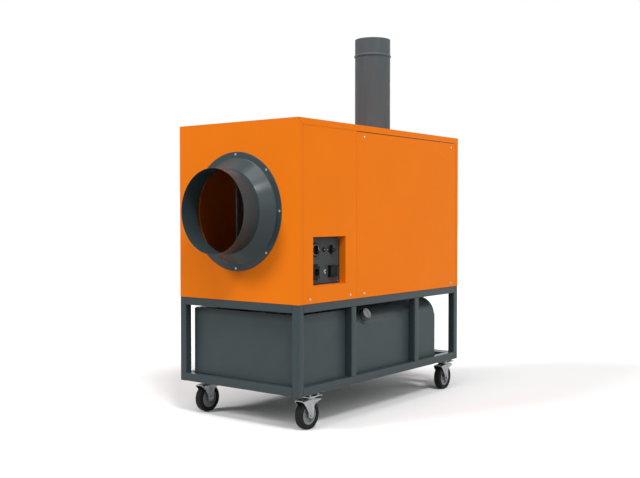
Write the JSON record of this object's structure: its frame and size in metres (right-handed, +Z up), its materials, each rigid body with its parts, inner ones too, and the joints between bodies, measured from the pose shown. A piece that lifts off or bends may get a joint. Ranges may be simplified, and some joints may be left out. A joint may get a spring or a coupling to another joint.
{
  "type": "indirect-fired diesel heater",
  "caption": "Mobile indirect-fired diesel heater: sheet metal casing with round hose outlet, flue and control recess, on a tube frame with a moulded fuel tank and swivel castors.",
  "frame": {"origin": "on the floor under the middle of the overall length and width", "axes": "+Z up, -Y out of the air outlet at the front, +X to the side with the controls and the filler"},
  "size_m": [0.78, 1.668, 2.049],
  "materials": {
    "orange_paint": "satin powder coat",
    "anthracite_paint": "satin powder coat",
    "flue_paint": "matt heat-proof paint",
    "zinc": "bright zinc plate",
    "rim_plastic": "matt moulded",
    "tyre_rubber": "matt solid rubber",
    "galvanised": "galvanised sheet",
    "heat_steel": "plain stainless sheet",
    "burner_paint": "satin",
    "motor_alloy": "cast",
    "tank_plastic": "moulded, faintly textured",
    "cap_alloy": "satin",
    "seal_rubber": "matt",
    "copper_pipe": "plain drawn tube",
    "black_plastic": "fine grain",
    "plate_paint": "matt",
    "bright_metal": "polished"
  },
  "bodies": {
    "chassis": {"burner_body": "burner_paint", "burner_motor": "motor_alloy", "burner_tube": "heat_steel", "casing_frame": "orange_paint", "castor_pads": "anthracite_paint", "castor_plates": "zinc", "castor_standoffs": "zinc", "combustion_chamber": "heat_steel", "control_bushes": "bright_metal", "control_plate": "plate_paint", "control_recess": "orange_paint", "divider_frame": "heat_steel", "exchanger_ducts": "heat_steel", "exchanger_saddles": "heat_steel", "fan_bulkhead": "galvanised", "fan_motor": "motor_alloy", "filler_neck": "tank_plastic", "floor_pan": "galvanised", "flue_collar": "flue_paint", "flue_pipe": "flue_paint", "frame_bearers": "anthracite_paint", "frame_cross_rails": "anthracite_paint", "frame_long_rails": "anthracite_paint", "frame_posts": "anthracite_paint", "front_panel": "orange_paint", "fuel_pipe": "copper_pipe", "fuel_tank": "tank_plastic", "intake_louvre": "orange_paint", "left_side_panel": "orange_paint", "outlet_cone": "anthracite_paint", "outlet_sleeve": "anthracite_paint", "power_inlet": "black_plastic", "rear_panel": "orange_paint", "right_access_panel": "orange_paint", "right_front_panel": "orange_paint", "smoke_boxes": "heat_steel", "socket_body": "black_plastic", "top_lid": "orange_paint"},
    "fan": {"fan_rotor": "black_plastic"},
    "filler_seal": {"filler_cap_seal": "seal_rubber"},
    "filler_cap": {"filler_cap": "cap_alloy"},
    "main_switch": {"main_switch_knob": "black_plastic"},
    "thermostat": {"thermostat_knob": "black_plastic"},
    "toggle": {"toggle_lever": "bright_metal"},
    "reset": {"reset_button": "black_plastic"},
    "socket_flap": {"socket_lid": "black_plastic"},
    "castor_front_left": {"castor_fork_front_left": "zinc"},
    "wheel_front_left": {"wheel_rim_front_left": "rim_plastic", "tyre_front_left": "tyre_rubber"},
    "castor_front_right": {"castor_fork_front_right": "zinc"},
    "wheel_front_right": {"wheel_rim_front_right": "rim_plastic", "tyre_front_right": "tyre_rubber"},
    "castor_rear_left": {"castor_fork_rear_left": "zinc"},
    "wheel_rear_left": {"wheel_rim_rear_left": "rim_plastic", "tyre_rear_left": "tyre_rubber"},
    "castor_rear_right": {"castor_fork_rear_right": "zinc"},
    "wheel_rear_right": {"wheel_rim_rear_right": "rim_plastic", "tyre_rear_right": "tyre_rubber"}
  },
  "joints": [
    {"name": "castor_swivel_front_left", "type": "hinge", "parent": "chassis", "child": "castor_front_left", "pos_m": [-0.332, -0.516, 0.155], "axis": [0, 0, 1], "continuous": true},
    {"name": "wheel_spin_front_left", "type": "hinge", "parent": "castor_front_left", "child": "wheel_front_left", "pos_m": [-0.33224, -0.53, 0.07], "axis": [0.9998, -0.0175, 0], "continuous": true},
    {"name": "castor_swivel_front_right", "type": "hinge", "parent": "chassis", "child": "castor_front_right", "pos_m": [0.332, -0.516, 0.155], "axis": [0, 0, 1], "continuous": true},
    {"name": "wheel_spin_front_right", "type": "hinge", "parent": "castor_front_right", "child": "wheel_front_right", "pos_m": [0.33176, -0.53, 0.07], "axis": [0.9998, -0.0175, 0], "continuous": true},
    {"name": "castor_swivel_rear_left", "type": "hinge", "parent": "chassis", "child": "castor_rear_left", "pos_m": [-0.332, 0.773, 0.155], "axis": [0, 0, 1], "continuous": true},
    {"name": "wheel_spin_rear_left", "type": "hinge", "parent": "castor_rear_left", "child": "wheel_rear_left", "pos_m": [-0.33151, 0.75901, 0.07], "axis": [0.9994, 0.0349, 0], "continuous": true},
    {"name": "castor_swivel_rear_right", "type": "hinge", "parent": "chassis", "child": "castor_rear_right", "pos_m": [0.332, 0.773, 0.155], "axis": [0, 0, 1], "continuous": true},
    {"name": "wheel_spin_rear_right", "type": "hinge", "parent": "castor_rear_right", "child": "wheel_rear_right", "pos_m": [0.33249, 0.75901, 0.07], "axis": [0.9994, 0.0349, 0], "continuous": true},
    {"name": "fan_spin", "type": "hinge", "parent": "chassis", "child": "fan", "pos_m": [0, 0.751, 1.191], "axis": [0, 1, 0], "continuous": true},
    {"name": "filler_cap_lift", "type": "slide", "parent": "chassis", "child": "filler_seal", "axis": [0.866, 0, 0.5], "range_m": [0, 0.012]},
    {"name": "filler_cap_turn", "type": "hinge", "parent": "filler_seal", "child": "filler_cap", "pos_m": [0.251, -0.081, 0.452], "axis": [0.866, 0, 0.5], "range_deg": [0, 540]},
    {"name": "main_switch_turn", "type": "hinge", "parent": "chassis", "child": "main_switch", "pos_m": [0.36, -0.492, 0.857], "axis": [1, 0, 0], "range_deg": [-90, 0]},
    {"name": "thermostat_turn", "type": "hinge", "parent": "chassis", "child": "thermostat", "pos_m": [0.36, -0.366, 0.857], "axis": [1, 0, 0], "range_deg": [-270, 0]},
    {"name": "toggle_flip", "type": "hinge", "parent": "chassis", "child": "toggle", "pos_m": [0.35465, -0.423, 0.857], "axis": [0, 1, 0], "range_deg": [-15, 15]},
    {"name": "reset_press", "type": "slide", "parent": "chassis", "child": "reset", "axis": [-1, 0, 0], "range_m": [0, 0.0025], "stiffness_N_per_m": 400},
    {"name": "socket_lid_open", "type": "hinge", "parent": "chassis", "child": "socket_flap", "pos_m": [0.36725, -0.359, 0.775], "axis": [0, -1, 0], "range_deg": [0, 100], "stiffness_Nm_per_rad": 0.02}
  ],
  "couplings": [
    {"joint": "filler_cap_lift", "follows": "filler_cap_turn", "m_per_rad": 0.0012732}
  ]
}
